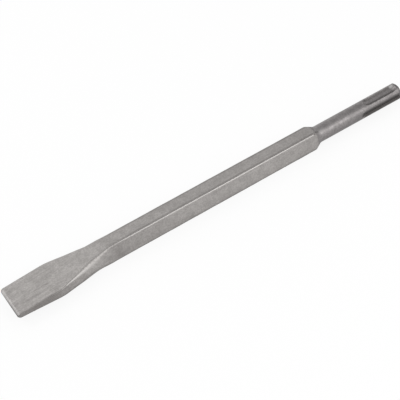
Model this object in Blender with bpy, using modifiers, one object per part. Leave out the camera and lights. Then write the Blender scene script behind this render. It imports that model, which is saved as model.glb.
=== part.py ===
"""Flat chisel for a rotary hammer, modelled as one forged and turned piece of steel.

The tool lies along X: cutting edge at -X, shank end at +X. It rests on the lower
flat of its square bar, with the floor at Z = 0 and the wide faces of the blade up
and down. Everything is in metres.

The order of work follows the real one. A bar is forged into a blank whose section
changes from a thin wide blade to a rounded square. The blank is turned, which cuts
the shoulder and the round shank out of the square, and slots are cut in the shank.
"""

import math

import bmesh
import bpy

MM = 0.001

# Whole tool
TOTAL_LENGTH = 255.5 * MM

# Square bar
BAR_WIDTH = 11.2 * MM
BAR_CORNER = 1.0 * MM

# Blade, measured from the cutting edge
BLADE_WIDTH = 26.9 * MM
BLADE_THICKNESS = 5.0 * MM
BLADE_CORNER = 0.4 * MM
TIP_CORNER = 1.5 * MM
TAPER_END = 25.0 * MM
ROOT_THICKNESS = 2.5 * MM
BEVEL_LENGTH = 1.5 * MM
EDGE_LAND = 1.3 * MM

# Forged flare from the blade to the bar, measured from the cutting edge
WIDTH_FLARE_START = 24.5 * MM
WIDTH_FLARE_END = 62.5 * MM
WIDTH_FLARE_ROUNDING = 4.5 * MM
THICKNESS_FLARE_START = 25.0 * MM
THICKNESS_FLARE_END = 60.0 * MM
THICKNESS_FLARE_ROUNDING = 2.5 * MM

# Long corners of the flare, which grow rounder and then sharpen into the bar's
FLARE_CORNER = 2.4 * MM
FLARE_CORNER_RISE = 25.0 * MM
FLARE_CORNER_FALL = 12.0 * MM
FLARE_CORNER_ROUNDING = 3.0 * MM
CORNER_LIMIT = 0.4

# Turned shoulder and shank
SHANK_DIAMETER = 10.0 * MM
SHANK_LENGTH = 57.8 * MM
SHANK_CHAMFER = 0.9 * MM
SHOULDER_LENGTH = 4.4 * MM
SHOULDER_ROUNDING = 2.6 * MM
NECK_FILLET = 5.0 * MM

# Slots in the shank, turned about the axis from the flats of the bar
SLOT_TURN = math.radians(16.7)
POCKET_LENGTH = 23.2 * MM
POCKET_END_GAP = 1.6 * MM
POCKET_RADIUS = 3.6 * MM
POCKET_DEPTH = 1.95 * MM
POCKET_RAMP = 3.6 * MM
DRIVE_SLOT_LENGTH = 29.0 * MM
DRIVE_SLOT_WIDTH = 4.4 * MM
DRIVE_SLOT_FLOOR_WIDTH = 2.7 * MM
DRIVE_SLOT_DEPTH = 1.7 * MM
DRIVE_CUTTER_RADIUS = 6.0 * MM

# Fineness of the mesh
CORNER_STEPS = 6
TAPER_STEPS = 8
FLARE_STEPS = 28
TIP_STEPS = 4
ARC_STEPS = 6
TURNED_STEPS = 72
POCKET_STEPS = 48
RAMP_STEPS = 8
STATION_GAP = 0.15 * MM
CUT_MARGIN = 2.0 * MM
MERGE_DISTANCE = 0.000001
SHARP_ANGLE = math.radians(28.0)

# Steel
STEEL_COLOUR = (0.33, 0.315, 0.30, 1.0)
STEEL_ROUGHNESS = 0.48
STEEL_METALLIC = 0.9

SHANK_RADIUS = SHANK_DIAMETER / 2
AXIS_HEIGHT = BAR_WIDTH / 2
SHANK_START = TOTAL_LENGTH - SHANK_LENGTH
SHOULDER_START = SHANK_START - SHOULDER_LENGTH
ROUNDEST_PLACE = WIDTH_FLARE_START + FLARE_CORNER_RISE
BAR_START = max(WIDTH_FLARE_END, THICKNESS_FLARE_END, ROUNDEST_PLACE + FLARE_CORNER_FALL)


def clear_scene():
    """Remove the objects that a new Blender file starts with."""
    for item in list(bpy.data.objects):
        bpy.data.objects.remove(item, do_unlink=True)


def new_collection(name):
    """Add a collection to the scene and return it."""
    collection = bpy.data.collections.new(name)
    bpy.context.scene.collection.children.link(collection)
    return collection


def steel_material():
    """Return the plain grey steel of the tool."""
    material = bpy.data.materials.new("blasted_steel")
    material.use_nodes = True
    shader = material.node_tree.nodes["Principled BSDF"]
    shader.inputs["Base Color"].default_value = STEEL_COLOUR
    shader.inputs["Roughness"].default_value = STEEL_ROUGHNESS
    shader.inputs["Metallic"].default_value = STEEL_METALLIC
    return material


def ramp(x, start, end, rounding):
    """Return 0 before start and 1 after end, joined by a straight ramp with rounded ends."""
    run = end - start
    into = min(max(x - start, 0.0), run)
    if into < rounding:
        return into ** 2 / (2 * rounding * (run - rounding))
    if into > run - rounding:
        return 1 - (run - into) ** 2 / (2 * rounding * (run - rounding))
    return (into - rounding / 2) / (run - rounding)


def blend(a, b, share):
    """Return the value that lies the given share of the way from a to b."""
    return a + (b - a) * share


def section_width(x):
    """Return the width of the blank across Y, at x from the cutting edge."""
    flare = ramp(x, WIDTH_FLARE_START, WIDTH_FLARE_END, WIDTH_FLARE_ROUNDING)
    width = blend(BLADE_WIDTH, BAR_WIDTH, flare)
    inset = max(TIP_CORNER - x, 0.0)
    rounding = TIP_CORNER - math.sqrt(TIP_CORNER ** 2 - inset ** 2)
    return width - 2 * rounding


def section_thickness(x):
    """Return the thickness of the blank along Z, at x from the cutting edge."""
    if x < BEVEL_LENGTH:
        return blend(EDGE_LAND, ROOT_THICKNESS, x / BEVEL_LENGTH)
    taper = min((x - BEVEL_LENGTH) / (TAPER_END - BEVEL_LENGTH), 1.0)
    flare = ramp(x, THICKNESS_FLARE_START, THICKNESS_FLARE_END, THICKNESS_FLARE_ROUNDING)
    return blend(blend(ROOT_THICKNESS, BLADE_THICKNESS, taper), BAR_WIDTH, flare)


def section_corner(x):
    """Return the corner radius of the blank's section, at x from the cutting edge."""
    rise = ramp(x, WIDTH_FLARE_START, ROUNDEST_PLACE, FLARE_CORNER_ROUNDING)
    fall = ramp(x, ROUNDEST_PLACE, ROUNDEST_PLACE + FLARE_CORNER_FALL, FLARE_CORNER_ROUNDING)
    radius = blend(blend(BLADE_CORNER, FLARE_CORNER, rise), BAR_CORNER, fall)
    return min(radius, CORNER_LIMIT * section_thickness(x))


def rounded_rectangle(width, height, radius):
    """Return the (y, z) points of a rounded rectangle, anticlockwise."""
    points = []
    for quarter in range(4):
        across = (width / 2 - radius) * (1 if quarter in (0, 3) else -1)
        up = (height / 2 - radius) * (1 if quarter in (0, 1) else -1)
        for step in range(CORNER_STEPS + 1):
            angle = math.pi / 2 * (quarter + step / CORNER_STEPS)
            points.append((across + radius * math.cos(angle), up + radius * math.sin(angle)))
    return points


def stations():
    """Return the distances from the cutting edge at which the blank has a section."""
    tip = [TIP_CORNER * (1 - math.cos(math.pi / 2 * i / TIP_STEPS)) for i in range(TIP_STEPS + 1)]
    taper = [blend(BEVEL_LENGTH, TAPER_END, i / TAPER_STEPS) for i in range(TAPER_STEPS + 1)]
    flare_start = min(WIDTH_FLARE_START, THICKNESS_FLARE_START)
    flare = [blend(flare_start, BAR_START, i / FLARE_STEPS) for i in range(FLARE_STEPS + 1)]
    places = sorted(tip + taper + flare + [TOTAL_LENGTH])
    kept = [places[0]]
    for place in places[1:]:
        if place - kept[-1] > STATION_GAP:
            kept.append(place)
    return kept


def forge_blank(collection, material):
    """Loft the blank through its sections, from the cutting edge to the shank end."""
    shape = bmesh.new()
    rings = []
    for x in stations():
        outline = rounded_rectangle(section_width(x), section_thickness(x), section_corner(x))
        place = x - TOTAL_LENGTH / 2
        rings.append([shape.verts.new((place, y, z + AXIS_HEIGHT)) for y, z in outline])
    for ring, following in zip(rings, rings[1:]):
        for i in range(len(ring)):
            j = (i + 1) % len(ring)
            shape.faces.new((ring[i], ring[j], following[j], following[i]))
    shape.faces.new(list(reversed(rings[0])))
    shape.faces.new(rings[-1])
    bmesh.ops.recalc_face_normals(shape, faces=shape.faces)
    mesh = bpy.data.meshes.new("flat_chisel")
    shape.to_mesh(mesh)
    shape.free()
    mesh.materials.append(material)
    blank = bpy.data.objects.new("flat_chisel", mesh)
    collection.objects.link(blank)
    return blank


def arc(centre_along, centre_out, radius, start, end):
    """Return (along, out) points on an arc, with its angles measured from the axis."""
    points = []
    for i in range(ARC_STEPS + 1):
        angle = blend(start, end, i / ARC_STEPS)
        points.append((centre_along + radius * math.cos(angle), centre_out + radius * math.sin(angle)))
    return points


def shoulder_outline():
    """Return the turned shoulder, from the shank to the uncut corners of the bar.

    It is a cone with a fillet into the shank and a rounded brow at the bar.
    """
    reach = (BAR_WIDTH / 2 - BAR_CORNER) * math.sqrt(2) + BAR_CORNER
    slope = math.atan2(reach - SHANK_RADIUS, SHOULDER_LENGTH)
    fillet_setback = NECK_FILLET * math.tan(slope / 2)
    brow_setback = SHOULDER_ROUNDING * math.tan(slope / 2)
    fillet = arc(SHANK_START + fillet_setback, SHANK_RADIUS + NECK_FILLET, NECK_FILLET,
                 -math.pi / 2, -math.pi / 2 - slope)
    brow = arc(SHOULDER_START - brow_setback, reach - SHOULDER_ROUNDING, SHOULDER_ROUNDING,
               math.pi / 2 - slope, math.pi / 2)
    return fillet + brow


def turned_solid(name, outline, steps, collection):
    """Turn an outline of (along, out) points about the X axis.

    The outline runs from the +X end to the -X end, and each end closes on the axis.
    """
    mesh = bpy.data.meshes.new(name)
    points = [(out, 0.0, along) for along, out in outline]
    mesh.from_pydata(points, [(i, i + 1) for i in range(len(points) - 1)], [])
    solid = bpy.data.objects.new(name, mesh)
    solid.rotation_euler = (0.0, math.pi / 2, 0.0)
    screw = solid.modifiers.new("turn", "SCREW")
    screw.axis = "Z"
    screw.steps = steps
    screw.render_steps = steps
    screw.use_merge_vertices = True
    screw.merge_threshold = MERGE_DISTANCE
    solid.hide_render = True
    solid.display_type = "WIRE"
    collection.objects.link(solid)
    return solid


def turning_envelope(collection):
    """Make the round form that turning leaves: all of the blade and bar, then the shank."""
    clear = BLADE_WIDTH
    outline = [(TOTAL_LENGTH, 0.0),
               (TOTAL_LENGTH, SHANK_RADIUS - SHANK_CHAMFER),
               (TOTAL_LENGTH - SHANK_CHAMFER, SHANK_RADIUS)]
    outline += shoulder_outline()
    last_along = outline[-1][0]
    outline += [(last_along, clear), (-CUT_MARGIN, clear), (-CUT_MARGIN, 0.0)]
    envelope = turned_solid("turning_envelope", outline, TURNED_STEPS, collection)
    envelope.location = (-TOTAL_LENGTH / 2, 0.0, AXIS_HEIGHT)
    return envelope


def pocket_cutter(name, turn, collection):
    """Make the spindle that cuts one closed pocket, with a curved ramp at both ends."""
    half = POCKET_LENGTH / 2
    outline = [(half, 0.0)]
    for i in range(RAMP_STEPS + 1):
        share = i / RAMP_STEPS
        outline.append((half - POCKET_RAMP * share, POCKET_RADIUS - POCKET_DEPTH * (1 - share) ** 2))
    outline += [(-along, out) for along, out in reversed(outline)]
    cutter = turned_solid(name, outline, POCKET_STEPS, collection)
    offset = SHANK_RADIUS - POCKET_DEPTH + POCKET_RADIUS
    centre = TOTAL_LENGTH / 2 - POCKET_END_GAP - half
    cutter.location = (centre, -offset * math.sin(turn), AXIS_HEIGHT + offset * math.cos(turn))
    return cutter


def drive_slot_outline():
    """Return the side view of one drive slot as (x, z), with z measured from the axis.

    The floor runs out of the shank end. The other end follows the disc that cuts it.
    """
    end = TOTAL_LENGTH / 2
    floor = SHANK_RADIUS - DRIVE_SLOT_DEPTH
    top = SHANK_RADIUS + CUT_MARGIN
    centre_up = floor + DRIVE_CUTTER_RADIUS
    run_out = math.sqrt(DRIVE_CUTTER_RADIUS ** 2 - (DRIVE_CUTTER_RADIUS - DRIVE_SLOT_DEPTH) ** 2)
    centre = end - DRIVE_SLOT_LENGTH + run_out
    lift = math.acos((centre_up - top) / DRIVE_CUTTER_RADIUS)
    points = [(end + CUT_MARGIN, top), (end + CUT_MARGIN, floor)]
    for i in range(2 * ARC_STEPS + 1):
        angle = lift * i / (2 * ARC_STEPS)
        points.append((centre - DRIVE_CUTTER_RADIUS * math.sin(angle),
                       centre_up - DRIVE_CUTTER_RADIUS * math.cos(angle)))
    return points


def drive_slot_share(height):
    """Return the drive slot's width at a height above the axis, as a share of its floor's."""
    floor = SHANK_RADIUS - DRIVE_SLOT_DEPTH
    mouth = math.sqrt(SHANK_RADIUS ** 2 - (DRIVE_SLOT_WIDTH / 2) ** 2)
    widening = (DRIVE_SLOT_WIDTH / DRIVE_SLOT_FLOOR_WIDTH - 1) / (mouth - floor)
    return 1 + widening * (height - floor)


def drive_slot_cutter(name, turn, collection):
    """Make the cutter of one open drive slot from its side view, and flare its walls."""
    curve = bpy.data.curves.new(name, "CURVE")
    curve.dimensions = "2D"
    curve.fill_mode = "BOTH"
    curve.extrude = DRIVE_SLOT_FLOOR_WIDTH / 2
    outline = drive_slot_outline()
    spline = curve.splines.new("POLY")
    spline.points.add(len(outline) - 1)
    for point, (x, z) in zip(spline.points, outline):
        point.co = (x, z, 0.0, 1.0)
    spline.use_cyclic_u = True
    drawn = bpy.data.objects.new(name, curve)
    collection.objects.link(drawn)
    drawn.rotation_euler = (math.pi / 2 + turn, 0.0, 0.0)
    drawn.location = (0.0, 0.0, AXIS_HEIGHT)
    bpy.context.view_layer.update()
    mesh = bpy.data.meshes.new_from_object(drawn.evaluated_get(bpy.context.evaluated_depsgraph_get()))
    shape = bmesh.new()
    shape.from_mesh(mesh)
    bmesh.ops.remove_doubles(shape, verts=shape.verts, dist=MERGE_DISTANCE)
    for vert in shape.verts:
        vert.co.z *= drive_slot_share(vert.co.y)
    bmesh.ops.recalc_face_normals(shape, faces=shape.faces)
    shape.to_mesh(mesh)
    shape.free()
    cutter = bpy.data.objects.new(name + "_solid", mesh)
    cutter.matrix_world = drawn.matrix_world.copy()
    cutter.hide_render = True
    cutter.display_type = "WIRE"
    collection.objects.link(cutter)
    bpy.data.objects.remove(drawn, do_unlink=True)
    return cutter


def add_boolean(target, tool, operation):
    """Add an exact Boolean modifier that uses the tool on the target."""
    modifier = target.modifiers.new(tool.name, "BOOLEAN")
    modifier.object = tool
    modifier.operation = operation
    modifier.solver = "EXACT"


def finish_mesh(target):
    """Apply the modifiers and shade the round stretches smooth."""
    bpy.context.view_layer.update()
    depsgraph = bpy.context.evaluated_depsgraph_get()
    mesh = bpy.data.meshes.new_from_object(target.evaluated_get(depsgraph))
    target.modifiers.clear()
    target.data = mesh
    mesh.shade_smooth()
    mesh.set_sharp_from_angle(angle=SHARP_ANGLE)


def build():
    """Model the whole tool."""
    clear_scene()
    parts = new_collection("flat_chisel")
    cutters = new_collection("cutters")
    chisel = forge_blank(parts, steel_material())
    add_boolean(chisel, turning_envelope(cutters), "INTERSECT")
    for side in range(2):
        half_turn = math.pi * side
        pocket = pocket_cutter(f"pocket_cutter_{side + 1}", SLOT_TURN + half_turn, cutters)
        add_boolean(chisel, pocket, "DIFFERENCE")
        quarter = SLOT_TURN + half_turn + math.pi / 2
        add_boolean(chisel, drive_slot_cutter(f"drive_slot_{side + 1}", quarter, cutters), "DIFFERENCE")
    finish_mesh(chisel)


build()
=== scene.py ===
"""Dresses the flat chisel: a forged blade and bar, a turned and slotted shank, and a ground edge.

The tool lies along X with its cutting edge at -X, on the lower flat of its bar. One finely
meshed piece stands for the solid, and each worked zone has a finish of its own. Lengths are
in metres, and places along the tool are measured from the cutting edge.
"""

from __future__ import annotations

import bisect
import logging
import math
from collections.abc import Mapping
from dataclasses import dataclass
from enum import Enum

import bmesh
import bpy
from mathutils import Matrix, Vector, noise


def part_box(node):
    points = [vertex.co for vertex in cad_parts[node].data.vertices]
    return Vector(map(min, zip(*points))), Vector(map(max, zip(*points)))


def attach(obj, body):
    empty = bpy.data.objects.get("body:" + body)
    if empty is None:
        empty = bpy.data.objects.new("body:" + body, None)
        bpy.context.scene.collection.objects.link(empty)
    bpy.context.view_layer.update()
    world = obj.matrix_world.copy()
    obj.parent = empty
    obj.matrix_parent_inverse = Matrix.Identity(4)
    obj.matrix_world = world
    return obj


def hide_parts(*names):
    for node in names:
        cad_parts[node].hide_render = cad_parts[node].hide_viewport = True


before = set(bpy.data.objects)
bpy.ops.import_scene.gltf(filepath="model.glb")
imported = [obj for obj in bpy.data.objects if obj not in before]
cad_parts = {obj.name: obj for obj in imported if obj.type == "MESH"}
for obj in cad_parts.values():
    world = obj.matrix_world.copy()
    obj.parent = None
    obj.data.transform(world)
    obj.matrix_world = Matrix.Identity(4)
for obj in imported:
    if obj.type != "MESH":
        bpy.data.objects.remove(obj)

LOG = logging.getLogger("flat_chisel")
MM = 0.001
# A distance from the axis that lies beyond every surface of the tool.
FAR = 1.0
WHITE = (1.0, 1.0, 1.0, 1.0)
VECTOR = "NodeSocketVector"
NUMBER = "NodeSocketFloat"
# The colour sockets of a mix node, whose number sockets bear the same names.
MIX_SHARE, MIX_FIRST, MIX_SECOND, MIXED = 0, 6, 7, 2
Colour = tuple[float, float, float]
Sockets = Mapping[str, bpy.types.NodeSocket]


class Zone(Enum):
    """The worked zones of the tool, each with its own material slot."""

    FORGED = 0
    GROUND = 1
    TURNED = 2


def blend(a: float, b: float, share: float) -> float:
    """Return the value that lies the given share of the way from a to b."""
    return a + (b - a) * share


def bell(distance: float, width: float) -> float:
    """Return 1 at no distance, falling to nothing a few widths away."""
    return math.exp(-(distance / width) ** 2)


def soft_min(a: float, b: float, rounding: float) -> float:
    """Return the lesser of two lengths, rounded where one takes over from the other."""
    overlap = max(rounding - abs(a - b), 0.0) / rounding
    return min(a, b) - overlap ** 2 * rounding / 4


def drop_of_arc(radius: float, inset: float) -> float:
    """Return how far an arc has fallen from its crown, at a distance along from the crown."""
    return radius - math.sqrt(radius ** 2 - min(max(inset, 0.0), radius) ** 2)


@dataclass(frozen=True)
class Ramp:
    """A straight rise from 0 to 1 with rounded ends."""

    start: float
    end: float
    rounding: float

    def at(self, x: float) -> float:
        """Find the share that the rise has reached.

        Args:
            x: Where on the rise to look.

        Returns:
            A share from 0 to 1.
        """
        run = self.end - self.start
        into = min(max(x - self.start, 0.0), run)
        if into < self.rounding:
            return into ** 2 / (2 * self.rounding * (run - self.rounding))
        if into > run - self.rounding:
            return 1 - (run - into) ** 2 / (2 * self.rounding * (run - self.rounding))
        return (into - self.rounding / 2) / (run - self.rounding)


@dataclass(frozen=True)
class Unevenness:
    """The slight waves and dimples that forging and blasting leave, always into the steel."""

    wave_depth: float = 0.05 * MM
    wave_length: float = 12.0 * MM
    dimple_depth: float = 0.025 * MM
    dimple_length: float = 2.2 * MM

    def at(self, place: Vector) -> float:
        """Find how far the surface lies below its true place.

        Args:
            place: Point of the surface.

        Returns:
            The depth.
        """
        wave = (1 + noise.noise(place / self.wave_length)) / 2
        dimple = (1 + noise.noise(place / self.dimple_length)) / 2
        return self.wave_depth * wave + self.dimple_depth * dimple


@dataclass(frozen=True)
class Forging:
    """The forged part of the tool: the blade, the flare and the square bar."""

    bar_width: float
    bar_corner: float = 1.0 * MM
    blade_width: float = 26.9 * MM
    blade_thickness: float = 5.0 * MM
    blade_corner: float = 0.4 * MM
    tip_corner: float = 1.5 * MM
    taper_end: float = 25.0 * MM
    root_thickness: float = 2.5 * MM
    bevel_length: float = 1.5 * MM
    edge_land: float = 1.3 * MM
    edge_rounding: float = 0.15 * MM
    width_flare: Ramp = Ramp(24.5 * MM, 62.5 * MM, 4.5 * MM)
    thickness_flare: Ramp = Ramp(25.0 * MM, 60.0 * MM, 2.5 * MM)
    flare_corner: float = 2.4 * MM
    corner_rise: Ramp = Ramp(24.5 * MM, 49.5 * MM, 3.0 * MM)
    corner_fall: Ramp = Ramp(49.5 * MM, 61.5 * MM, 3.0 * MM)
    corner_limit: float = 0.4
    blade_roll: float = 1.5 * MM
    roll_end: Ramp = Ramp(20.0 * MM, 32.0 * MM, 3.0 * MM)
    flare_stretch: float = 0.9
    stretch_limit: float = 0.48
    corner_skew: float = 1.4
    corner_sharpness: int = 3
    corner_variation: float = 0.12
    corner_wave: float = 7.0 * MM
    corner_seed: float = 0.5
    corner_cells: int = 12
    flat_cells: int = 38

    @property
    def columns(self) -> int:
        """Return the number of columns of mesh round the tool."""
        return 4 * (self.corner_cells + self.flat_cells)

    def width(self, x: float) -> float:
        """Return the width across Y, at x from the cutting edge."""
        width = blend(self.blade_width, self.bar_width, self.width_flare.at(x))
        return width - 2 * drop_of_arc(self.tip_corner, self.tip_corner - x)

    def thickness(self, x: float) -> float:
        """Find the thickness along Z.

        Args:
            x: Place along the tool.

        Returns:
            The thickness.
        """
        if x < self.bevel_length:
            bevelled = blend(self.edge_land, self.root_thickness, x / self.bevel_length)
            return bevelled - 2 * drop_of_arc(self.edge_rounding, self.edge_rounding - x)
        taper = min((x - self.bevel_length) / (self.taper_end - self.bevel_length), 1.0)
        blade = blend(self.root_thickness, self.blade_thickness, taper)
        return blend(blade, self.bar_width, self.thickness_flare.at(x))

    def corner(self, x: float, quarter: int) -> float:
        """Find the radius of one long corner, which varies a little along the tool.

        Args:
            x: Place along the tool.
            quarter: Which of the four corners, anticlockwise from +Y +Z.

        Returns:
            The radius.
        """
        radius = blend(self.blade_corner, self.flare_corner, self.corner_rise.at(x))
        radius = blend(radius, self.bar_corner, self.corner_fall.at(x))
        wave = noise.noise(Vector((x / self.corner_wave, float(quarter), self.corner_seed)))
        varied = radius * (1 + self.corner_variation * wave)
        return min(varied, self.corner_limit * self.thickness(x))

    def heading(self, column: int) -> float:
        """Return the angle of the outward direction at a column of mesh, from +Y."""
        quarter, cell = divmod(column, self.corner_cells + self.flat_cells)
        return math.pi / 2 * (quarter + min(cell / self.corner_cells, 1.0))

    def point(self, x: float, column: int) -> Vector:
        """Find a point of the section.

        Args:
            x: Place along the tool.
            column: Column of the mesh, counted from where the +Y face meets its upper corner.

        Returns:
            The point as (y, z), measured from the tool's axis.
        """
        quarter, cell = divmod(column, self.corner_cells + self.flat_cells)
        here = self.corner_point(x, quarter, self.heading(column))
        if cell <= self.corner_cells:
            return here
        following = self.corner_point(x, (quarter + 1) % 4, self.heading(column))
        return here.lerp(following, (cell - self.corner_cells) / self.flat_cells)

    def flaring(self, x: float) -> float:
        """Return 1 in the middle of the flare, falling to 0 on the blade and on the bar."""
        return self.corner_rise.at(x) * (1 - self.corner_fall.at(x))

    def corner_point(self, x: float, quarter: int, heading: float) -> Vector:
        """Find a point of one rounded corner.

        The corner rolls far over the flat of the blade, and far down the side of the flare.

        Args:
            x: Place along the tool.
            quarter: Which of the four corners, anticlockwise from +Y +Z.
            heading: Outward direction, as an angle from +Y.

        Returns:
            The point as (y, z), measured from the tool's axis.
        """
        across = self.corner(x, quarter)
        stretched = across * (1 + self.flare_stretch * self.flaring(x))
        down = min(stretched, self.stretch_limit * self.thickness(x))
        across = max(across, self.blade_roll * (1 - self.roll_end.at(x)))
        side = 1 if quarter in (0, 3) else -1
        top = 1 if quarter in (0, 1) else -1
        centre = Vector((
            side * (self.width(x) / 2 - across),
            top * (self.thickness(x) / 2 - down),
        ))
        return centre + Vector((across * math.cos(heading), down * math.sin(heading)))

    def into_corner(self, column: int) -> float:
        """Return a column's place round its corner, from 0 at a wide flat to 1 at a flank."""
        return math.acos(min(abs(math.sin(self.heading(column))), 1.0)) / (math.pi / 2)

    def corner_share(self, column: int) -> float:
        """Return 1 past the crown of a corner, falling to 0 where it meets the flats."""
        swell = math.sin(math.pi * self.into_corner(column) ** self.corner_skew)
        return swell ** self.corner_sharpness

    def beyond_flat(self, x: float, column: int) -> float:
        """Find how far a point lies past the end of the top or bottom flat.

        Args:
            x: Place along the tool.
            column: Column of the mesh.

        Returns:
            The distance round the corner, or less than 0 on the flat itself.
        """
        quarter, cell = divmod(column, self.corner_cells + self.flat_cells)
        if quarter % 2 or cell <= self.corner_cells:
            return self.into_corner(column) * self.corner(x, quarter) * math.pi / 2
        share = (cell - self.corner_cells) / self.flat_cells
        return -min(share, 1 - share) * (self.width(x) - 2 * self.corner(x, quarter))


@dataclass(frozen=True)
class TurnedShank:
    """The turned part of the tool: the shoulder and the round shank with its slots."""

    total_length: float
    bar_reach: float
    diameter: float = 10.0 * MM
    length: float = 57.8 * MM
    chamfer: float = 0.9 * MM
    shoulder_length: float = 4.4 * MM
    shoulder_rounding: float = 2.6 * MM
    neck_fillet: float = 5.0 * MM
    slot_turn: float = math.radians(16.7)
    drive_rounding: float = 0.6 * MM
    pocket_rounding: float = 0.2 * MM
    pocket_length: float = 23.2 * MM
    pocket_end_gap: float = 1.6 * MM
    pocket_radius: float = 3.6 * MM
    pocket_depth: float = 1.95 * MM
    pocket_ramp: float = 3.6 * MM
    drive_slot_length: float = 29.0 * MM
    drive_slot_width: float = 4.4 * MM
    drive_slot_floor_width: float = 2.7 * MM
    drive_slot_depth: float = 1.7 * MM
    drive_cutter_radius: float = 6.0 * MM
    rim: float = 0.4 * MM
    crowding: float = 3.0
    crowded_angle: float = math.radians(3.0)
    spacing_steps: int = 20

    @property
    def radius(self) -> float:
        """Return the shank's radius."""
        return self.diameter / 2

    @property
    def start(self) -> float:
        """Return where the shank leaves the shoulder, from the cutting edge."""
        return self.total_length - self.length

    @property
    def shoulder_start(self) -> float:
        """Return where the cone of the shoulder meets the corners of the bar."""
        return self.start - self.shoulder_length

    @property
    def drive_start(self) -> float:
        """Return where the drive slots start, from the cutting edge."""
        return self.total_length - self.drive_slot_length

    @property
    def drive_edge(self) -> float:
        """Return the angle from the middle of a drive slot to its edge."""
        return math.asin(self.drive_slot_width / self.diameter)

    @property
    def pocket_axis(self) -> float:
        """Return how far out the axis of a pocket's round floor lies."""
        return self.radius - self.pocket_depth + self.pocket_radius

    @property
    def pocket_edge(self) -> float:
        """Return the angle from the middle of a pocket to its edge."""
        squares = self.radius ** 2 + self.pocket_axis ** 2 - self.pocket_radius ** 2
        return math.acos(squares / (2 * self.radius * self.pocket_axis))

    def turned_radius(self, x: float) -> float:
        """Find the radius that turning leaves.

        Args:
            x: Place along the tool.

        Returns:
            The radius, or FAR where the bar isn't turned.
        """
        from_end = self.total_length - x
        if from_end < self.chamfer:
            return self.radius - self.chamfer + from_end
        slope = math.atan2(self.bar_reach - self.radius, self.shoulder_length)
        fillet_setback = self.neck_fillet * math.tan(slope / 2)
        brow_setback = self.shoulder_rounding * math.tan(slope / 2)
        if x >= self.start + fillet_setback:
            return self.radius
        if x <= self.shoulder_start - brow_setback:
            return FAR
        into_fillet = self.start + fillet_setback - x
        if into_fillet < self.neck_fillet * math.sin(slope):
            return self.radius + drop_of_arc(self.neck_fillet, into_fillet)
        into_brow = x - (self.shoulder_start - brow_setback)
        if into_brow < self.shoulder_rounding * math.sin(slope):
            return self.bar_reach - drop_of_arc(self.shoulder_rounding, into_brow)
        return self.radius + (self.start - x) * math.tan(slope)

    def pocket_surface(self, x: float, angle: float) -> float:
        """Find how far out a closed pocket leaves the surface.

        Args:
            x: Place along the tool.
            angle: Angle round the axis from the pocket's middle.

        Returns:
            The distance from the axis, or FAR outside the pocket.
        """
        half = self.pocket_length / 2
        offset = self.pocket_axis
        from_middle = abs(x - (self.total_length - self.pocket_end_gap - half))
        climb = max((from_middle - half) / self.pocket_ramp + 1, 0.0)
        spindle = self.pocket_radius - self.pocket_depth * climb ** 2
        aside = abs(offset * math.sin(angle))
        if math.cos(angle) <= 0 or spindle <= aside:
            return FAR
        return offset * math.cos(angle) - math.sqrt(spindle ** 2 - aside ** 2)

    def drive_surface(self, x: float, angle: float) -> float:
        """Find how far out an open drive slot leaves the surface.

        Args:
            x: Place along the tool.
            angle: Angle round the axis from the slot's middle.

        Returns:
            The distance from the axis, or FAR outside the slot.
        """
        cutter = self.drive_cutter_radius
        floor = self.radius - self.drive_slot_depth
        run_out = math.sqrt(cutter ** 2 - (cutter - self.drive_slot_depth) ** 2)
        before = run_out - (x - self.drive_start)
        mouth = math.sqrt(self.radius ** 2 - (self.drive_slot_width / 2) ** 2)
        half_floor = self.drive_slot_floor_width / 2
        widening = (self.drive_slot_width / 2 - half_floor) / (mouth - floor)
        opening = widening * math.cos(angle) - abs(math.sin(angle))
        if before >= cutter or opening <= 0:
            return FAR
        wall = (floor * widening - half_floor) / opening
        return max((floor + drop_of_arc(cutter, before)) / math.cos(angle), wall)

    def nearest_slot(self, angle: float) -> tuple[bool, float]:
        """Find the slot nearest to an angle round the axis.

        Args:
            angle: Angle from +Y towards +Z.

        Returns:
            Whether it is a drive slot, and the angle from its middle.
        """
        from_pocket = angle - math.pi / 2 - self.slot_turn
        quarter_turns = round(from_pocket / (math.pi / 2))
        return quarter_turns % 2 == 1, from_pocket - quarter_turns * math.pi / 2

    def surface(self, x: float, angle: float) -> float:
        """Find how far out the turned and slotted surface lies.

        Args:
            x: Place along the tool.
            angle: Angle from +Y towards +Z.

        Returns:
            The distance from the axis, or FAR where the bar isn't turned.
        """
        is_drive, near = self.nearest_slot(angle)
        turned = self.turned_radius(x)
        if is_drive:
            return soft_min(turned, self.drive_surface(x, near), self.drive_rounding)
        return soft_min(turned, self.pocket_surface(x, near), self.pocket_rounding)

    def sunk(self, x: float, angle: float) -> float:
        """Return how far inside a slot a point lies, from 0 outside it to 1 past its rim."""
        return min((self.turned_radius(x) - self.surface(x, angle)) / self.rim, 1.0)

    def crowd(self, angle: float) -> float:
        """Find how closely the columns of mesh stand, densest at the edges of the slots.

        Args:
            angle: Angle from +Y towards +Z.

        Returns:
            How many times as close as away from the slots.
        """
        is_drive, near = self.nearest_slot(angle)
        edge = self.drive_edge if is_drive else self.pocket_edge
        return 1 + self.crowding * bell(abs(near) - edge, self.crowded_angle)

    def column_angles(self, first: float, columns: int) -> list[float]:
        """Spread the columns of mesh round the shank.

        Args:
            first: Angle of the first column.
            columns: How many columns there are.

        Returns:
            The angle of each column, rising from the first.
        """
        steps = self.spacing_steps * columns
        tally = [0.0]
        for i in range(steps):
            tally.append(tally[-1] + self.crowd(first + math.tau * (i + 0.5) / steps))
        angles = []
        for column in range(columns):
            goal = tally[-1] * column / columns
            step = bisect.bisect_right(tally, goal) - 1
            part = (goal - tally[step]) / (tally[step + 1] - tally[step])
            angles.append(first + math.tau * (step + part) / steps)
        return angles


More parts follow.
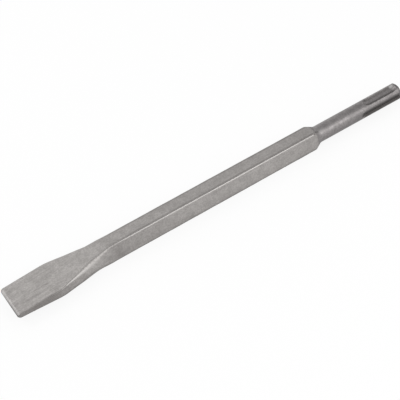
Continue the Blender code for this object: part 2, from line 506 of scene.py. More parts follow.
@dataclass(frozen=True)
class ForgedPaintedShade:
    """Painted shade on the forged steel, and a darker stretch towards the neck."""

    side_shade: float = 0.55
    side_shade_fade: Ramp = Ramp(17.0 * MM, 43.0 * MM, 5.0 * MM)
    edge_shade: float = 1.0
    edge_reach: float = 0.6 * MM
    edge_lean: float = 1.8
    patch_shade: float = 0.33
    patch_place: float = 64.2 * MM
    patch_reach: float = 4.8 * MM
    tail_shade: float = 0.16
    tail_start: Ramp = Ramp(63.0 * MM, 69.0 * MM, 2.0 * MM)
    tail_end: Ramp = Ramp(68.0 * MM, 108.0 * MM, 10.0 * MM)
    low_shade: float = 1.0
    low_reach: float = 1.1 * MM
    low_widening: float = 1.0 * MM
    line_shade: float = 0.46
    line_place: float = -0.2 * MM
    line_width: float = 0.65 * MM
    line_run: Ramp = Ramp(50.0 * MM, 74.0 * MM, 4.0 * MM)
    upward_shade: float = 0.1
    upward_shade_run: Ramp = Ramp(50.0 * MM, 170.0 * MM, 20.0 * MM)
    heel_darkening: float = 0.09
    heel_run: Ramp = Ramp(172.0 * MM, 184.0 * MM, 5.0 * MM)

    def spots(self, forging: Forging, x: float, column: int) -> float:
        """Find the painted shade: blade sides, edge, front past the flare, low corners.

        Args:
            forging: The forged part.
            x: Place along the tool.
            column: Column of the mesh.

        Returns:
            A share from 0 to 1.
        """
        across = math.cos(forging.heading(column))
        # Painted shade on the blade's sides, the front of the edge, the front face past the flare
        # and the low corners.
        side = self.side_shade * across ** 2 * (1 - self.side_shade_fade.at(x))
        aside, up = forging.point(x, column)
        frontness = self.edge_lean * (0.5 - aside / forging.blade_width)
        edge = self.edge_shade * bell(x, self.edge_reach) * min(max(frontness, 0.0), 1.0)
        tail = self.tail_shade * self.tail_start.at(x) * (1 - self.tail_end.at(x))
        dark = max(self.patch_shade * bell(x - self.patch_place, self.patch_reach), tail)
        patch = dark * max(-across, 0.0) ** 2
        reach = self.low_reach + self.low_widening * forging.flaring(x)
        low = self.low_shade * bell(up + forging.thickness(x) / 2, reach) * abs(across)
        return max(side, edge, patch, low)

    def shade_bands(self, forging: Forging, x: float, column: int) -> float:
        """Find the painted shade beside the ridge and on top, and the darkening towards the neck.

        Args:
            forging: The forged part.
            x: Place along the tool.
            column: Column of the mesh.

        Returns:
            A share from 0 to 1.
        """
        # Painted shade in a line beside the ridge and on the upward faces, then a darker stretch
        # towards the neck.
        beside = bell(forging.beyond_flat(x, column) - self.line_place, self.line_width)
        line = self.line_shade * beside * self.line_run.at(x)
        facing_up = max(math.sin(forging.heading(column)), 0.0)
        upward = self.upward_shade * facing_up ** 2 * self.upward_shade_run.at(x)
        return line + upward + self.heel_darkening * self.heel_run.at(x)


@dataclass(frozen=True)
class SlotShade:
    """Painted shade in and round the drive slots, and on the walls of the pockets."""

    drive_shade: float = 1.0
    drive_floor: float = 0.78
    drive_wall: float = math.radians(24.0)
    wall_sharpness: int = 4
    drive_dark: Ramp = Ramp(-0.5 * MM, 4.0 * MM, 1.0 * MM)
    spill: float = 0.7
    spill_angle: float = math.radians(11.5)
    driven_shade: float = 0.48
    driven_wall: Ramp = Ramp(math.radians(4.0), math.radians(17.0), math.radians(4.0))
    free_shade: float = 0.75
    free_wall: Ramp = Ramp(math.radians(12.0), math.radians(29.0), math.radians(5.0))

    def at(self, shank: TurnedShank, x: float, angle: float) -> float:
        """Find how dark the slots' painted shade is at a point.

        Args:
            shank: The slotted shank.
            x: Place along the tool.
            angle: Angle from +Y towards +Z.

        Returns:
            A share from 0 to 1.
        """
        # Painted shade: the slots and the pockets' walls are darkened, spilling a little past the
        # drive slots' edges.
        is_drive, near = shank.nearest_slot(angle)
        if not is_drive:
            driven = self.driven_shade * self.driven_wall.at(near)
            return shank.sunk(x, angle) * (driven + self.free_shade * self.free_wall.at(-near))
        wall = min(abs(near) / self.drive_wall, 1.0) ** self.wall_sharpness
        inside = self.drive_shade * shank.sunk(x, angle) * blend(self.drive_floor, 1.0, wall)
        outside = self.spill * bell(max(abs(near) - shank.drive_edge, 0.0), self.spill_angle)
        return self.drive_dark.at(x - shank.drive_start) * max(inside, outside)


@dataclass(frozen=True)
class TurnedShade:
    """Painted shade on the turned steel, darkest underneath, towards the shank end and on the
    end's chamfer.
    """

    under: float = 0.2
    end: float = 0.14
    end_run: Ramp = Ramp(205.0 * MM, 235.0 * MM, 10.0 * MM)
    chamfer: float = 0.5
    chamfer_run: Ramp = Ramp(-2.0 * MM, -0.5 * MM, 0.4 * MM)

    def at(self, shank: TurnedShank, x: float, angle: float) -> float:
        """Find how dark the painted shade is at a point, with no underside or end shade inside a
        slot.

        Args:
            shank: The slotted shank.
            x: Place along the tool.
            angle: Angle from +Y towards +Z.

        Returns:
            A share from 0 to 1.
        """
        # Painted shade: darker underneath, towards the shank end and on the chamfer.
        under = self.under * (1 - math.sin(angle)) / 2
        turned_shade = (under + self.end * self.end_run.at(x)) * (1 - shank.sunk(x, angle))
        return turned_shade + self.chamfer * self.chamfer_run.at(x - shank.total_length)


@dataclass(frozen=True)
class Neck:
    """The painted shade in the crease where the turned finish starts, and a painted highlight
    ringing the neck beside it.
    """

    lead: float = 2.5 * MM
    corner_lead: float = 1.4 * MM
    painted_shade: float = 0.9
    evenness: float = 0.12
    line_width: float = 0.8 * MM
    wear_and_highlight: float = 0.27
    highlight_place: float = 199.5 * MM
    highlight_reach: float = 3.5 * MM

    def dark(self, past_start: float, at_corner: float) -> float:
        """Return how dark the crease's painted shade is, which bends back and darkens at the bar's
        corners.
        """
        # Painted shade along the crease where the shoulder meets the shank.
        line = bell(past_start + self.corner_lead * at_corner, self.line_width)
        return self.painted_shade * line * blend(self.evenness, 1.0, at_corner)

    def worn_and_highlit(self, x: float) -> float:
        """Return how bright the neck's painted highlight is at a place along the tool."""
        # Painted highlight: a brighter ring round the neck.
        return self.wear_and_highlight * bell(x - self.highlight_place, self.highlight_reach)


@dataclass(frozen=True)
class CornerWearAndHighlight:
    """Bare metal along the forged corners with a painted highlight, brightest on the upper ones
    and dimmed at the flare's end.
    """

    start: Ramp = Ramp(24.0 * MM, 34.0 * MM, 3.0 * MM)
    lower: float = 0.1
    dull_place: float = 57.0 * MM
    dull_reach: float = 9.0 * MM
    dulling: float = 0.85

    def at(self, forging: Forging, x: float, column: int) -> float:
        """Find a point's wear and painted highlight on the forged part.

        Args:
            forging: The forged part.
            x: Place along the tool.
            column: Column of the mesh.

        Returns:
            A share from 0 to 1.
        """
        # Painted highlight with the wear: far stronger on the upper corners, which face the light,
        # and dimmed at the flare's end.
        top = 1.0 if math.sin(forging.heading(column)) > 0 else self.lower
        bright = 1 - self.dulling * bell(x - self.dull_place, self.dull_reach)
        return forging.corner_share(column) * (top * self.start.at(x) * bright)


@dataclass(frozen=True)
class BallHighlight:
    """A painted highlight at the outer ramp of each pocket, laid as a bright rubbed patch."""

    wear_and_highlight: float = 0.62
    gap: float = 3.0 * MM
    reach: float = 1.7 * MM
    turn: float = math.radians(-21.0)
    half_angle: float = math.radians(16.0)

    def at(self, shank: TurnedShank, x: float, angle: float) -> float:
        """Find how bright the painted highlight is at a point of the shank.

        Args:
            shank: The slotted shank.
            x: Place along the tool.
            angle: Angle from +Y towards +Z.

        Returns:
            A share from 0 to 1.
        """
        is_drive, near = shank.nearest_slot(angle)
        if is_drive:
            return 0.0
        # Painted highlight on the pocket's outer ramp.
        along = bell(x - (shank.total_length - self.gap), self.reach)
        return self.wear_and_highlight * along * bell(near - self.turn, self.half_angle)


@dataclass(frozen=True)
class Rings:
    """How far apart the rings of mesh stand in each stretch of the tool."""

    margin: float = 1.0 * MM
    edge: float = 0.04 * MM
    bevel: float = 0.12 * MM
    bevel_end: float = 2.0 * MM
    blade: float = 0.6 * MM
    bar: float = 1.3 * MM
    shoulder: float = 0.2 * MM
    shank: float = 0.6 * MM
    slots: float = 0.25 * MM
    chamfer: float = 0.15 * MM

    def stations(self, forging: Forging, shank: TurnedShank) -> list[float]:
        """Place the rings.

        Args:
            forging: The forged part.
            shank: The turned part.

        Returns:
            The places of the rings, from the cutting edge to the shank end.
        """
        runs = (
            (0.0, self.edge),
            (forging.edge_rounding, self.bevel),
            (self.bevel_end, self.blade),
            (forging.width_flare.end + self.margin, self.bar),
            (shank.shoulder_start - self.margin, self.shoulder),
            (shank.start + 2 * self.margin, self.shank),
            (shank.drive_start - self.margin, self.slots),
            (shank.total_length - shank.chamfer, self.chamfer),
        )
        ends = [start for start, _ in runs[1:]] + [shank.total_length]
        places = []
        for (start, step), end in zip(runs, ends):
            count = math.ceil((end - start) / step)
            places += [blend(start, end, i / count) for i in range(count)]
        return places + [shank.total_length]


class Wiring:
    """Adds and joins the nodes of one material or one shader group."""

    def __init__(self, tree: bpy.types.NodeTree) -> None:
        """Keep the node tree to work on."""
        self.tree = tree

    def node(self, kind: str, inputs: dict | None = None, **settings: object) -> bpy.types.Node:
        """Add a node.

        Args:
            kind: Blender's name for the type of node.
            inputs: What each input takes, either another node's output or a value.
            settings: The node's own settings.

        Returns:
            The new node.
        """
        node = self.tree.nodes.new(kind)
        for name, value in settings.items():
            setattr(node, name, value)
        self.join(node, inputs or {})
        return node

    def join(self, node: bpy.types.Node, inputs: dict) -> None:
        """Feed several inputs of a node, each from another node's output or with a value."""
        for name, value in inputs.items():
            self.feed(node.inputs[name], value)

    def feed(self, socket: bpy.types.NodeSocket, value: object) -> None:
        """Join an output to a socket, or set the socket's value.

        Args:
            socket: The input to feed.
            value: Another node's output, or a plain value.
        """
        if isinstance(value, bpy.types.NodeSocket):
            self.tree.links.new(value, socket)
        else:
            socket.default_value = value

    def maths(self, operation: str, *values: object) -> bpy.types.NodeSocket:
        """Return the result of one sum on one, two or three values."""
        return self.node("ShaderNodeMath", dict(enumerate(values)), operation=operation).outputs[0]

    def span(self, value: object, low: float, high: float, to_low: float = 0.0,
             to_high: float = 1.0) -> bpy.types.NodeSocket:
        """Stretch a range of values to another, with smooth ends.

        Args:
            value: The value to stretch.
            low: Value that becomes to_low.
            high: Value that becomes to_high.
            to_low: Lower end of the result.
            to_high: Upper end of the result.

        Returns:
            The stretched value.
        """
        ends = {"From Min": low, "From Max": high, "To Min": to_low, "To Max": to_high}
        inputs = {"Value": value, **ends}
        return self.node("ShaderNodeMapRange", inputs, interpolation_type="SMOOTHSTEP").outputs[0]

    def mix(self, share: object, first: object, second: object) -> bpy.types.NodeSocket:
        """Mix two colours.

        Args:
            share: Share of the second colour.
            first: Colour where the share is 0.
            second: Colour where the share is 1.

        Returns:
            The mixed colour.
        """
        first = (*first, 1.0) if isinstance(first, tuple) else first
        second = (*second, 1.0) if isinstance(second, tuple) else second
        inputs = {MIX_SHARE: share, MIX_FIRST: first, MIX_SECOND: second}
        return self.node("ShaderNodeMix", inputs, data_type="RGBA").outputs[MIXED]

    def noise(self, place: object, scale: object, detail: float) -> bpy.types.NodeSocket:
        """Return fractal noise from 0 to 1, with as many waves in a metre as the scale."""
        inputs = {"Vector": place, "Scale": scale, "Detail": detail}
        return self.node("ShaderNodeTexNoise", inputs).outputs[0]


    def group(self, tree: bpy.types.NodeTree, inputs: dict) -> Sockets:
        """Add a shader group and return its outputs."""
        return self.node("ShaderNodeGroup", inputs, node_tree=tree).outputs

    def mask(self, name: str) -> bpy.types.NodeSocket:
        """Return one of the masks that the mesh carries."""
        return self.node("ShaderNodeAttribute", attribute_name=name).outputs["Fac"]


def add_object(name: str, data: bpy.types.ID) -> bpy.types.Object:
    """Add an object to the scene.

    Args:
        name: Name of the object.
        data: Its mesh, camera or light.

    Returns:
        The new object.
    """
    added = bpy.data.objects.new(name, data)
    bpy.context.scene.collection.objects.link(added)
    return added


def add_mesh(name: str, shape: bmesh.types.BMesh) -> bpy.types.Object:
    """Turn a finished shape into an object of the scene.

    Args:
        name: Name of the object and of its mesh.
        shape: The shape, which is freed.

    Returns:
        The new object.
    """
    mesh = bpy.data.meshes.new(name)
    shape.to_mesh(mesh)
    shape.free()
    return add_object(name, mesh)


def new_material(name: str) -> tuple[bpy.types.Material, Wiring, bpy.types.Node]:
    """Start a node material.

    Args:
        name: Name of the material.

    Returns:
        The material, its wiring and its main shader.
    """
    material = bpy.data.materials.new(name)
    material.use_nodes = True
    return material, Wiring(material.node_tree), material.node_tree.nodes["Principled BSDF"]


def open_group(name: str, inputs: dict[str, str],
               results: tuple[str, ...]) -> tuple[Wiring, Sockets, Sockets]:
    """Start a shader group.

    Args:
        name: Name of the group.
        inputs: Type of each input socket, by name.
        results: Names of the values that the group puts out.

    Returns:
        The group's wiring, what it is given, and the sockets that take its results.
    """
    tree = bpy.data.node_groups.new(name, "ShaderNodeTree")
    for socket, kind in inputs.items():
        tree.interface.new_socket(name=socket, in_out="INPUT", socket_type=kind)
    for socket in results:
        tree.interface.new_socket(name=socket, in_out="OUTPUT", socket_type=NUMBER)
    wiring = Wiring(tree)
    given = wiring.node("NodeGroupInput").outputs
    return wiring, given, wiring.node("NodeGroupOutput").inputs


@dataclass
class SteelEffects:
    """The shader groups that all the finishes share, and how far each effect reaches."""

    grain_detail: float = 2.0
    grain_range: tuple[float, float] = (0.3, 0.7)
    patch_detail: float = 4.0
    patch_range: tuple[float, float] = (0.34, 0.66)
    streak_detail: float = 3.0
    streak_range: tuple[float, float] = (0.46, 0.66)
    fold_scale: float = 0.25
    fold_detail: float = 1.0
    fold_middle: float = 0.5
    score_width: float = 0.035
    raggedness: float = 0.3
    wear_and_highlight_range: tuple[float, float] = (0.35, 1.15)

    def __post_init__(self) -> None:
        """Build each group once."""
        self.grain = self.build_grain()
        self.streaks = self.build_streaks()
        self.wear_and_highlight = self.build_wear_and_highlight()

    def build_grain(self) -> bpy.types.NodeTree:
        """Build the blasted grain of the surface and the slow patches of tone under it.

        Returns:
            A group that takes the place and the two sizes, and gives Grain and Patches.
        """
        inputs = {"Place": VECTOR, "Grain Size": NUMBER, "Patch Size": NUMBER}
        wiring, given, results = open_group("blasted_grain", inputs, ("Grain", "Patches"))
        fine = wiring.maths("DIVIDE", 1.0, given["Grain Size"])
        broad = wiring.maths("DIVIDE", 1.0, given["Patch Size"])
        grain = wiring.noise(given["Place"], fine, self.grain_detail)
        patches = wiring.noise(given["Place"], broad, self.patch_detail)
        wiring.feed(results["Grain"], wiring.span(grain, *self.grain_range))
        wiring.feed(results["Patches"], wiring.span(patches, *self.patch_range))
        return wiring.tree

    def build_streaks(self) -> bpy.types.NodeTree:
        """Build the broad streaks and thin scores that a worked surface carries in one direction.

        Returns:
            A group that takes the place, the squeeze of each axis and the line width, and gives
            Streaks and Scores.
        """
        inputs = {"Place": VECTOR, "Squeeze": VECTOR, "Line Width": NUMBER}
        wiring, given, results = open_group("worked_streaks", inputs, ("Streaks", "Scores"))
        stretch = {0: given["Place"], 1: given["Squeeze"]}
        squeezed = wiring.node("ShaderNodeVectorMath", stretch, operation="MULTIPLY").outputs[0]
        scale = wiring.maths("DIVIDE", 1.0, given["Line Width"])
        lines = wiring.noise(squeezed, scale, self.streak_detail)
        wiring.feed(results["Streaks"], wiring.span(lines, *self.streak_range))
        broad = wiring.maths("MULTIPLY", scale, self.fold_scale)
        folds = wiring.noise(squeezed, broad, self.fold_detail)
        from_fold = wiring.maths("ABSOLUTE", wiring.maths("SUBTRACT", folds, self.fold_middle))
        wiring.feed(results["Scores"], wiring.span(from_fold, 0.0, self.score_width, 1.0, 0.0))
        return wiring.tree

    def build_wear_and_highlight(self) -> bpy.types.NodeTree:
        """Build the bare metal and painted highlights of worn places, with a ragged edge.

        Returns:
            A group that takes the share of wear and painted highlight and the patches, and gives
            that share with a ragged edge.
        """
        inputs = {"Worn And Highlit": NUMBER, "Patches": NUMBER}
        wiring, given, results = open_group("bare_wear_and_highlight", inputs, ("Wear And Highlight",))
        ragged = wiring.maths("MULTIPLY_ADD", given["Patches"], self.raggedness, given["Worn And Highlit"])
        wiring.feed(results["Wear And Highlight"], wiring.span(ragged, *self.wear_and_highlight_range))
        return wiring.tree


@dataclass(frozen=True)
class SteelFinish:
    """A finish of the steel: its tones, its grain, its worked lines, its wear, and its painted
    highlights and shade.
    """

    name: str
    colour: Colour
    patch_colour: Colour
    streak_colour: Colour
    # The wear colour also paints highlights, and the grime colour paints shade as well as the dark
    # speckle.
    bare_and_highlight_colour: Colour
    shade_and_speckle_colour: Colour
    roughness: float
    wear_and_highlight_roughness: float
    metallic: float
    grain_size: float = 0.95 * MM
    patch_size: float = 4.5 * MM
    squeeze: tuple[float, float, float] = (1.0, 1.0, 1.0)
    line_width: float = 0.6 * MM
    streak_share: float = 0.3
    score_share: float = 0.0
    grain_share: float = 0.25
    rough_spread: float = 0.02
    line_height: float = 0.6
    bump_depth: float = 0.02 * MM
    bump_strength: float = 0.5

    def material(self, effects: SteelEffects) -> bpy.types.Material:
        """Build the node material of this finish.

        Args:
            effects: The shader groups that the finishes share.

        Returns:
            The new material.
        """
        material, wiring, shader = new_material(self.name)
        place = wiring.node("ShaderNodeTexCoord").outputs["Object"]
        sizes = {"Grain Size": self.grain_size, "Patch Size": self.patch_size}
        grain = wiring.group(effects.grain, {"Place": place, **sizes})
        lining = {"Squeeze": self.squeeze, "Line Width": self.line_width}
        streaks = wiring.group(effects.streaks, {"Place": place, **lining})
        # One mask carries wear and painted highlights, another painted shade.
        wear_and_highlight_inputs = {"Worn And Highlit": wiring.mask("worn_and_highlit"), "Patches": grain["Patches"]}
        lined = wiring.mask("lined")
        layers = {
            "grain": grain["Grain"],
            "patches": grain["Patches"],
            "lines": wiring.maths("MULTIPLY", streaks["Streaks"], lined),
            "scores": wiring.maths("MULTIPLY", streaks["Scores"], lined),
            "painted_shade": wiring.mask("painted_shade"),
            "wear_and_highlight": wiring.group(effects.wear_and_highlight, wear_and_highlight_inputs)["Wear And Highlight"],
        }
        height = wiring.maths("MULTIPLY_ADD", layers["lines"], self.line_height, layers["grain"])
        relief = {"Height": height, "Distance": self.bump_depth, "Strength": self.bump_strength}
        bump = wiring.node("ShaderNodeBump", relief)
        wiring.join(shader, {
            "Base Color": self.tint(wiring, layers),
            "Roughness": self.polish(wiring, layers),
            "Metallic": self.metallic,
            "Normal": bump.outputs["Normal"],
        })
        return material

    def tint(self, wiring: Wiring, layers: Sockets) -> bpy.types.NodeSocket:
        """Lay the tones over one another, from the patches of the steel up to painted shade, then
        bare wear and painted highlights.

        Args:
            wiring: The material's wiring.
            layers: The mask of each layer, by name.

        Returns:
            The colour.
        """
        streaks = wiring.maths("MULTIPLY", layers["lines"], self.streak_share)
        scores = wiring.maths("MULTIPLY", layers["scores"], self.score_share)
        speckle = wiring.maths("MULTIPLY", layers["grain"], self.grain_share)
        colour = wiring.mix(layers["patches"], self.colour, self.patch_colour)
        colour = wiring.mix(streaks, colour, self.streak_colour)
        colour = wiring.mix(scores, colour, self.streak_colour)
        colour = wiring.mix(speckle, colour, self.shade_and_speckle_colour)
        # Painted shade, then bare metal with painted highlights, over the steel's own tones.
        colour = wiring.mix(layers["painted_shade"], colour, self.shade_and_speckle_colour)
        return wiring.mix(layers["wear_and_highlight"], colour, self.bare_and_highlight_colour)

    def polish(self, wiring: Wiring, layers: Sockets) -> bpy.types.NodeSocket:
        """Vary the roughness with the patches, and smooth it under the wear and painted
        highlights.

        Args:
            wiring: The material's wiring.
            layers: The mask of each layer, by name.

        Returns:
            The roughness.
        """
        smooth, coarse = self.roughness - self.rough_spread, self.roughness + self.rough_spread
        rough = wiring.span(layers["patches"], 0.0, 1.0, smooth, coarse)
        change = self.wear_and_highlight_roughness - self.roughness
        return wiring.maths("MULTIPLY_ADD", layers["wear_and_highlight"], change, rough)


@dataclass
class FlatChisel:
    """The whole tool, as one piece of mesh rolled round its axis."""

    length: float
    axis_height: float
    forging: Forging
    shank: TurnedShank
    unevenness: Unevenness = Unevenness()
    rings: Rings = Rings()
    forged_painted_shade: ForgedPaintedShade = ForgedPaintedShade()
    slot_shade: SlotShade = SlotShade()
    turned_shade: TurnedShade = TurnedShade()
    neck: Neck = Neck()
    corner_wear_and_highlight: CornerWearAndHighlight = CornerWearAndHighlight()
    ball_highlight: BallHighlight = BallHighlight()
    turned_smoothness: float = 0.15
    shoulder_softness: float = 0.1 * MM
    slide_length: float = 12.0 * MM
    lining_end: Ramp = Ramp(24.0 * MM, 44.0 * MM, 5.0 * MM)
    lining_lost: float = 0.75
    weld_distance: float = 0.001 * MM
    sharp_angle: float = math.radians(40.0)

    def __post_init__(self) -> None:
        """Work out the angle of each column of mesh on the shank."""
        first_angle = self.section_angle(self.shank.start, 0)
        self.shank_angles = self.shank.column_angles(first_angle, self.forging.columns)

    @property
    def turned_start(self) -> float:
        """Return where the turned finish starts, a little before the shank's full length."""
        return self.shank.start - self.neck.lead

    def section_angle(self, x: float, column: int) -> float:
        """Find the angle round the axis of a column on the square section.

        Args:
            x: Place along the tool.
            column: Column of the mesh.

        Returns:
            The angle from +Y, which rises with the column.
        """
        across, up = self.forging.point(x, column)
        angle = math.atan2(up, across)
        past_half = column > self.forging.columns / 2
        gone_round = angle < 0 or (angle < math.pi / 2 and past_half)
        return angle + math.tau if gone_round else angle

    def column_angle(self, x: float, column: int) -> float:
        """Return a column's angle, which slides from the square's to the slots' spacing."""
        slide = min(max((x - self.shank.start) / self.slide_length, 0.0), 1.0)
        return blend(self.section_angle(x, column), self.shank_angles[column], slide)

    def surface_point(self, x: float, column: int) -> Vector:
        """Find a point of the finished surface.

        Args:
            x: Place along the tool.
            column: Column of the mesh.

        Returns:
            The point in the scene.
        """
        across, up = self.forging.point(x, column)
        sunk = self.unevenness.at(Vector((x, across, up)))
        heading = self.forging.heading(column)
        across -= sunk * math.cos(heading)
        up -= sunk * math.sin(heading)
        if x > self.shank.start:
            angle = self.column_angle(x, column)
            out = self.shank.surface(x, angle) - sunk * self.turned_smoothness
        else:
            angle = math.atan2(up, across)
            turned = self.shank.surface(x, angle) - sunk * self.turned_smoothness
            out = soft_min(math.hypot(across, up), turned, self.shoulder_softness)
        height = self.axis_height + out * math.sin(angle)
        return Vector((x - self.length / 2, out * math.cos(angle), height))

    def painted_shade(self, x: float, column: int) -> float:
        """Find how much painted shade a point of the surface has.

        Args:
            x: Place along the tool.
            column: Column of the mesh.

        Returns:
            A share from 0 to 1.
        """
        at_corner = self.forging.corner_share(column)
        line = self.neck.dark(x - self.turned_start, at_corner)
        if x > self.shank.start:
            angle = self.column_angle(x, column)
            slots = self.slot_shade.at(self.shank, x, angle)
            return max(slots, line, self.turned_shade.at(self.shank, x, angle))
        spots = max(self.forged_painted_shade.spots(self.forging, x, column), line)
        return spots + self.forged_painted_shade.shade_bands(self.forging, x, column)

    def worn_and_highlit(self, x: float, column: int) -> float:
        """Find a point's wear and painted highlight: on the long corners, the neck and the
        pockets' outer ramps.

        Args:
            x: Place along the tool.
            column: Column of the mesh.

        Returns:
            A share from 0 to 1.
        """
        neck = self.neck.worn_and_highlit(x)
        if x > self.shank.start:
            return max(self.ball_highlight.at(self.shank, x, self.column_angle(x, column)), neck)
        if x > self.shank.shoulder_start:
            return neck
        return self.corner_wear_and_highlight.at(self.forging, x, column)

    def lined(self, x: float, column: int) -> float:
        """Return how strongly a point shows the lines of its working, the same all round."""
        forged = self.forging.bevel_length <= x <= self.shank.start
        return 1.0 - self.lining_lost * self.lining_end.at(x) if forged else 1.0

    def zone(self, x: float) -> Zone:
        """Find the worked zone at a place along the tool.

        Args:
            x: Place along the tool.

        Returns:
            The zone.
        """
        if x < self.forging.bevel_length:
            return Zone.GROUND
        return Zone.TURNED if x > self.turned_start else Zone.FORGED

    def rolled_sheet(self) -> bmesh.types.BMesh:
        """Roll a sheet of quads round the axis, and give its vertices their masks.

        Returns:
            The new shape, still open along its seam and at its ends.
        """
        places = self.rings.stations(self.forging, self.shank)
        columns = self.forging.columns
        # The sheet is one unit wide and long, so a vertex's place on it is a share of each side.
        half = 0.5
        shape = bmesh.new()
        bmesh.ops.create_grid(shape, x_segments=len(places) - 1, y_segments=columns, size=half)
        # The masks carry wear with painted highlights, painted shade, and the lines of working.
        masks = {
            shape.verts.layers.float.new(mask.__name__): mask
            for mask in (self.worn_and_highlit, self.painted_shade, self.lined)
        }
        for vert in shape.verts:
            place = places[round((vert.co.x + half) * (len(places) - 1))]
            column = round((vert.co.y + half) * columns) % columns
            vert.co = self.surface_point(place, column)
            for layer, mask in masks.items():
                vert[layer] = mask(place, column)
        return shape

    def build(self) -> bpy.types.Object:
        """Close the rolled sheet, and give each of its faces a zone.

        Returns:
            The new object, each face indexed by the material slot of its zone.
        """
        shape = self.rolled_sheet()
        bmesh.ops.remove_doubles(shape, verts=shape.verts, dist=self.weld_distance)
        open_edges = [edge for edge in shape.edges if edge.is_boundary]
        bmesh.ops.holes_fill(shape, edges=open_edges, sides=0)
        bmesh.ops.recalc_face_normals(shape, faces=shape.faces)
        for face in shape.faces:
            face.material_index = self.zone(face.calc_center_median().x + self.length / 2).value
            # All but the two end caps are smooth.
            face.smooth = len(face.verts) <= 4
        piece = add_mesh("forged_chisel", shape)
        piece.data.set_sharp_from_angle(angle=self.sharp_angle)
        return piece

    def dress(self, piece: bpy.types.Object, finishes: dict[Zone, SteelFinish]) -> None:
        """Give each zone its material, in the order of the zones.

        Args:
            piece: The tool's piece of mesh.
            finishes: The finish of each zone.
        """
        effects = SteelEffects()
        for zone in Zone:
            piece.data.materials.append(finishes[zone].material(effects))


@dataclass(frozen=True)
class Camera:
    """The photograph's camera, described by how it sees the tool."""

    away: float = math.radians(15.3)
    face_angle: float = math.radians(51.2)
    picture_angle: float = math.radians(28.9)
    distance: float = 618.5 * MM
    lens: float = 100.5
    aim_along: float = 118.6 * MM
    aim_below: float = 0.5 * MM
    sensor: float = 36.0
    nearest: float = 10.0 * MM
    furthest: float = 10000.0 * MM

    def place(self, length: float, axis_height: float) -> None:
        """Set the scene's camera.

        Args:
            length: Length of the tool.
            axis_height: Height of the tool's axis.
        """
        across, up = math.sin(self.face_angle), math.cos(self.face_angle)
        deep, level = math.sin(self.away), math.cos(self.away)
        back = Vector((-deep, -across * level, up * level))
        along = Vector((level, -across * deep, up * deep))
        above = Vector((0.0, up, across))
        turn, rise = math.cos(self.picture_angle), math.sin(self.picture_angle)
        right = turn * along - rise * above
        top = rise * along + turn * above
        aim = Vector((self.aim_along - length / 2, 0.0, axis_height)) - self.aim_below * above
        data = bpy.data.cameras.new("camera")
        data.lens = self.lens
        data.sensor_width = self.sensor
        data.clip_start = self.nearest
        data.clip_end = self.furthest
        camera = add_object("camera", data)
        facing = Matrix((right, top, back)).transposed().to_4x4()
        camera.matrix_world = Matrix.Translation(aim + self.distance * back) @ facing
        bpy.context.scene.camera = camera


@dataclass(frozen=True)
class Lamp:
    """One soft area light that looks at the tool."""

    name: str
    direction: tuple[float, float, float]
    distance: float
    size: float
    power: float

    def place(self) -> None:
        """Add the light to the scene."""
        data = bpy.data.lights.new(self.name, "AREA")
        data.shape = "DISK"
        data.size = self.size
        data.energy = self.power
        light = add_object(self.name, data)
        towards = Vector(self.direction).normalized()
        light.location = towards * self.distance
        light.rotation_mode = "QUATERNION"
        light.rotation_quaternion = (-towards).to_track_quat("-Z", "Y")


@dataclass(frozen=True)
class Studio:
    """The pale floor, the world and the soft lights."""

    lamps: tuple[Lamp, ...]
    floor_size: float = 3.0
    floor_tone: float = 0.85
    floor_roughness: float = 0.9
    paper_white: float = 1.03
    floor_glow: float = 0.85
    mirrored_glow: float = 0.46
    wall_strength: float = 1.05
    zenith_strength: float = 0.5
    wall_height: float = 0.25

    def floor(self) -> None:
        """Lay the pale floor, which the camera sees as white under a faint shadow."""
        shape = bmesh.new()
        bmesh.ops.create_grid(shape, x_segments=1, y_segments=1, size=self.floor_size / 2)
        floor = add_mesh("floor", shape)
        material, wiring, shader = new_material("paper")
        wiring.join(shader, {
            "Base Color": (self.floor_tone,) * 3 + (1.0,),
            "Roughness": self.floor_roughness,
            "Specular IOR Level": 0.0,
        })
        glow = wiring.node("ShaderNodeEmission", {"Color": WHITE, "Strength": self.paper_white})
        path = wiring.node("ShaderNodeLightPath").outputs
        seen = wiring.maths("MULTIPLY", path["Is Camera Ray"], self.floor_glow)
        for ray in ("Is Glossy Ray", "Is Transmission Ray"):
            seen = wiring.maths("MULTIPLY_ADD", path[ray], self.mirrored_glow, seen)
        both = {0: seen, 1: shader.outputs["BSDF"], 2: glow.outputs["Emission"]}
        paper = wiring.node("ShaderNodeMixShader", both).outputs["Shader"]
        wiring.feed(material.node_tree.nodes["Material Output"].inputs["Surface"], paper)
        floor.data.materials.append(material)

    def world(self) -> None:
        """Surround the tool with white light, dimmer overhead than at the walls."""
        world = bpy.data.worlds.new("world")
        world.use_nodes = True
        wiring = Wiring(world.node_tree)
        towards = wiring.node("ShaderNodeTexCoord").outputs["Generated"]
        height = wiring.node("ShaderNodeSeparateXYZ", {"Vector": towards}).outputs["Z"]
        strengths = self.wall_strength, self.zenith_strength
        light = wiring.span(height, self.wall_height, 1.0, *strengths)
        background = world.node_tree.nodes["Background"]
        wiring.join(background, {"Color": WHITE, "Strength": light})
        bpy.context.scene.world = world

    def build(self) -> None:
        """Set up the floor, the world, the lights and how the picture is shown."""
        self.floor()
        self.world()
        for lamp in self.lamps:
            lamp.place()
        bpy.context.scene.view_settings.view_transform = "Standard"


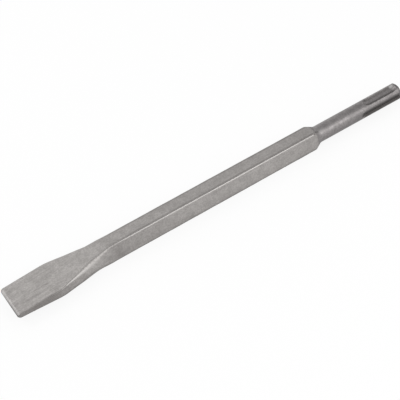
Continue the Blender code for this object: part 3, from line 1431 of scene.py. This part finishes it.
def steel_finishes() -> dict[Zone, SteelFinish]:
    """Describe the finish of each zone.

    Returns:
        The finishes, by zone.
    """
    return {
        Zone.FORGED: SteelFinish(
            name="blasted_steel",
            colour=(0.489, 0.469, 0.454),
            patch_colour=(0.434, 0.416, 0.402),
            streak_colour=(0.265, 0.249, 0.242),
            # The wear colour also paints the corners' highlights, and the grime colour paints
            # shade as well as the dark speckle.
            bare_and_highlight_colour=(0.515, 0.497, 0.483),
            shade_and_speckle_colour=(0.163, 0.149, 0.144),
            roughness=0.53,
            wear_and_highlight_roughness=0.51,
            metallic=0.85,
            squeeze=(0.035, 1.0, 1.0),
            streak_share=0.35,
            score_share=0.45,
            grain_share=0.3,
        ),
        Zone.GROUND: SteelFinish(
            name="ground_steel",
            colour=(0.412, 0.396, 0.387),
            patch_colour=(0.366, 0.352, 0.344),
            streak_colour=(0.305, 0.293, 0.287),
            bare_and_highlight_colour=(0.7, 0.7, 0.69),
            # The grime colour paints the cutting edge's shade.
            shade_and_speckle_colour=(0.16, 0.155, 0.15),
            roughness=0.42,
            wear_and_highlight_roughness=0.3,
            metallic=0.95,
            squeeze=(1.0, 0.06, 1.0),
            line_width=0.3 * MM,
        ),
        Zone.TURNED: SteelFinish(
            name="turned_steel",
            colour=(0.362, 0.343, 0.341),
            patch_colour=(0.316, 0.299, 0.297),
            streak_colour=(0.255, 0.242, 0.24),
            # The wear colour paints the highlights on the neck and the pockets' ramps, and the
            # grime colour the painted shade of the slots and underside.
            bare_and_highlight_colour=(0.74, 0.73, 0.72),
            shade_and_speckle_colour=(0.065, 0.06, 0.058),
            roughness=0.48,
            wear_and_highlight_roughness=0.4,
            metallic=0.95,
            squeeze=(1.0, 0.03, 0.03),
            line_width=0.35 * MM,
            bump_depth=0.01 * MM,
        ),
    }


def main() -> None:
    """Build the studio and the tool, and report each piece."""
    logging.basicConfig(level=logging.INFO)
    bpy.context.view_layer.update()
    low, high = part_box("flat_chisel")
    length = high[0] - low[0]
    bar_width = high[2] - low[2]
    forging = Forging(bar_width=bar_width)
    reach = (bar_width / 2 - forging.bar_corner) * math.sqrt(2) + forging.bar_corner
    chisel = FlatChisel(
        length=length,
        axis_height=(low[2] + high[2]) / 2,
        forging=forging,
        shank=TurnedShank(total_length=length, bar_reach=reach),
    )
    piece = chisel.build()
    chisel.dress(piece, steel_finishes())
    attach(piece, "root")
    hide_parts("flat_chisel")
    LOG.info("%s: %d faces", piece.name, len(piece.data.polygons))
    Camera().place(length, chisel.axis_height)
    Studio(
        lamps=(
            Lamp(name="key", direction=(0.28, -0.8, 0.53), distance=1.0, size=0.4, power=2.0),
            Lamp(name="side", direction=(-0.45, 0.55, 0.70), distance=1.0, size=0.6, power=1.6),
        ),
    ).build()


if __name__ == "__main__":
    main()
